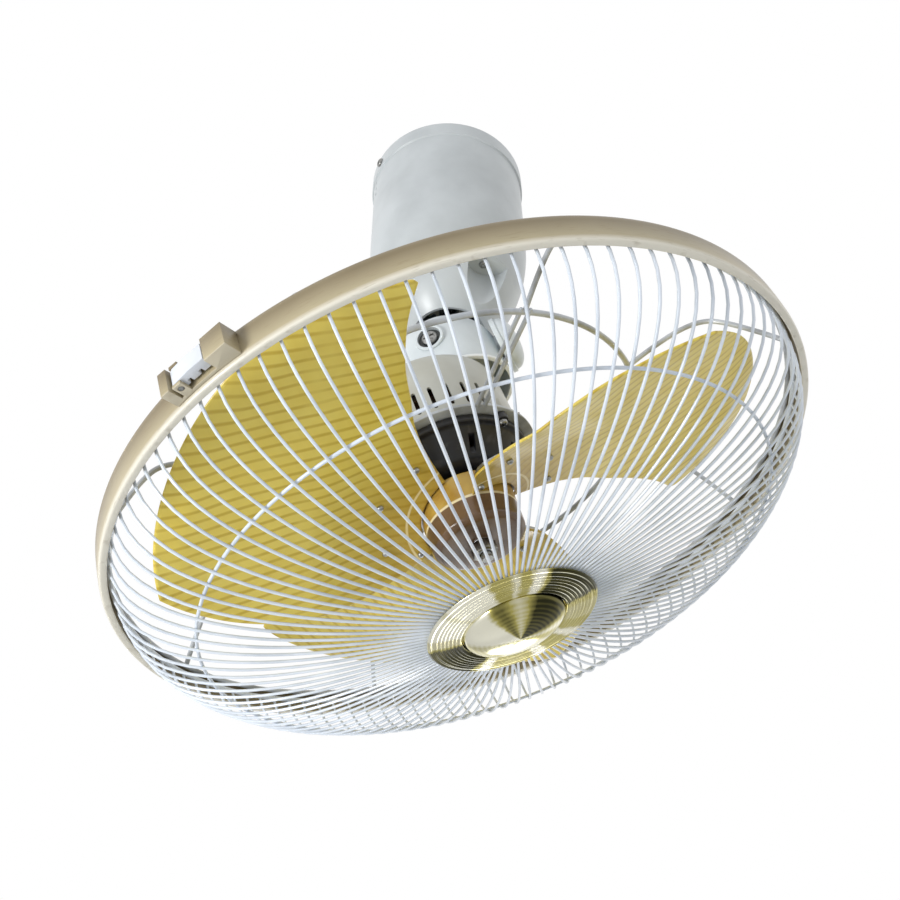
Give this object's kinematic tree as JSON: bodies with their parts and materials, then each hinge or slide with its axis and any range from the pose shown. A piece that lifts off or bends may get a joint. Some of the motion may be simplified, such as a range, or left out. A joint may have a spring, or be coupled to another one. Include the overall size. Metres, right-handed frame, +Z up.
{
  "type": "orbital ceiling fan",
  "caption": "Ceiling fan whose caged blade head leans on a turning crank, so its stream of air sweeps round in a cone.",
  "frame": {"origin": "centre of the ceiling plate's top face, which lies against the ceiling", "axes": "+Z up, out of the ceiling face along the canopy's axis; +X is the way the fan head leans at rest"},
  "size_m": [0.4543, 0.47, 0.4769],
  "materials": {
    "canopy_plastic": "semi-gloss light grey moulding",
    "cover_plastic": "satin warm grey moulding",
    "band_plastic": "semi-gloss beige moulding",
    "latch_plastic": "white moulding",
    "guard_wire": "light grey powder coat on steel wire",
    "gold_plate": "polished pale gold plating",
    "blade_plastic": "translucent amber moulding",
    "hub_plastic": "translucent brown-amber moulding",
    "black_paint": "black satin",
    "zinc_steel": "zinc-plated pressed steel",
    "screw_steel": "plated steel",
    "bright_steel": "ground steel",
    "core_steel": "varnished laminations",
    "copper": "varnished copper wire",
    "nylon": "natural nylon",
    "rubber": "black rubber"
  },
  "bodies": {
    "ceiling_unit": {"ceiling_plate": "zinc_steel", "cable_grommet": "rubber", "canopy_shell": "canopy_plastic", "pocket_screw": "screw_steel", "canopy_screw_1": "screw_steel", "canopy_screw_2": "screw_steel", "hanger_bracket": "zinc_steel", "terminal_block": "nylon", "run_capacitor": "black_paint", "orbit_frame": "zinc_steel", "orbit_bearing_upper": "bright_steel", "orbit_bearing_lower": "bright_steel", "orbit_motor": "zinc_steel"},
    "pinion": {"drive_pinion": "nylon"},
    "crank": {"orbit_crank": "bright_steel", "orbit_gear": "nylon", "journal_nut": "screw_steel"},
    "head": {"swivel_housing": "canopy_plastic", "swivel_bearing_upper": "bright_steel", "swivel_bearing_lower": "bright_steel", "pivot_screw": "screw_steel", "pivot_cap": "canopy_plastic", "motor_rear_cover": "cover_plastic", "stator_core": "core_steel", "stator_winding_rear": "copper", "stator_winding_front": "copper", "motor_front_bell": "black_paint", "motor_bolt_1": "screw_steel", "motor_bolt_2": "screw_steel", "motor_bolt_3": "screw_steel", "shaft_bearing_rear": "bright_steel", "shaft_bearing_front": "bright_steel", "rear_guard": "guard_wire", "guard_band": "band_plastic", "front_guard": "guard_wire", "centre_cap": "gold_plate", "cap_dome": "gold_plate", "latch_base": "band_plastic", "latch_pin": "screw_steel"},
    "rotor": {"rotor_shaft": "bright_steel", "rotor_core": "core_steel", "blade_hub": "hub_plastic", "hub_nut": "screw_steel", "blade_1": "blade_plastic", "blade_2": "blade_plastic", "blade_3": "blade_plastic", "blade_arm_1": "zinc_steel", "blade_arm_2": "zinc_steel", "blade_arm_3": "zinc_steel"},
    "latch": {"latch_lever": "latch_plastic"}
  },
  "joints": [
    {"name": "orbit", "type": "hinge", "parent": "ceiling_unit", "child": "crank", "pos_m": [0, 0, -0.23], "axis": [0, 0, 1], "continuous": true},
    {"name": "pinion_spin", "type": "hinge", "parent": "ceiling_unit", "child": "pinion", "pos_m": [0, 0.0368, -0.14], "axis": [0, 0, 1], "continuous": true},
    {"name": "head_swivel", "type": "hinge", "parent": "crank", "child": "head", "pos_m": [0, 0, -0.23], "axis": [-0.295, 0, 0.9555], "continuous": true},
    {"name": "blade_spin", "type": "hinge", "parent": "head", "child": "rotor", "pos_m": [0.0103, 0, -0.3594], "axis": [-0.295, 0, 0.9555], "continuous": true},
    {"name": "latch_turn", "type": "hinge", "parent": "head", "child": "latch", "pos_m": [-0.14805, -0.1727, -0.41876], "axis": [0.295, 0, -0.9555], "range_deg": [0, 75]}
  ],
  "couplings": [
    {"joint": "pinion_spin", "follows": "orbit", "ratio": -3},
    {"joint": "head_swivel", "follows": "orbit", "ratio": -1}
  ]
}
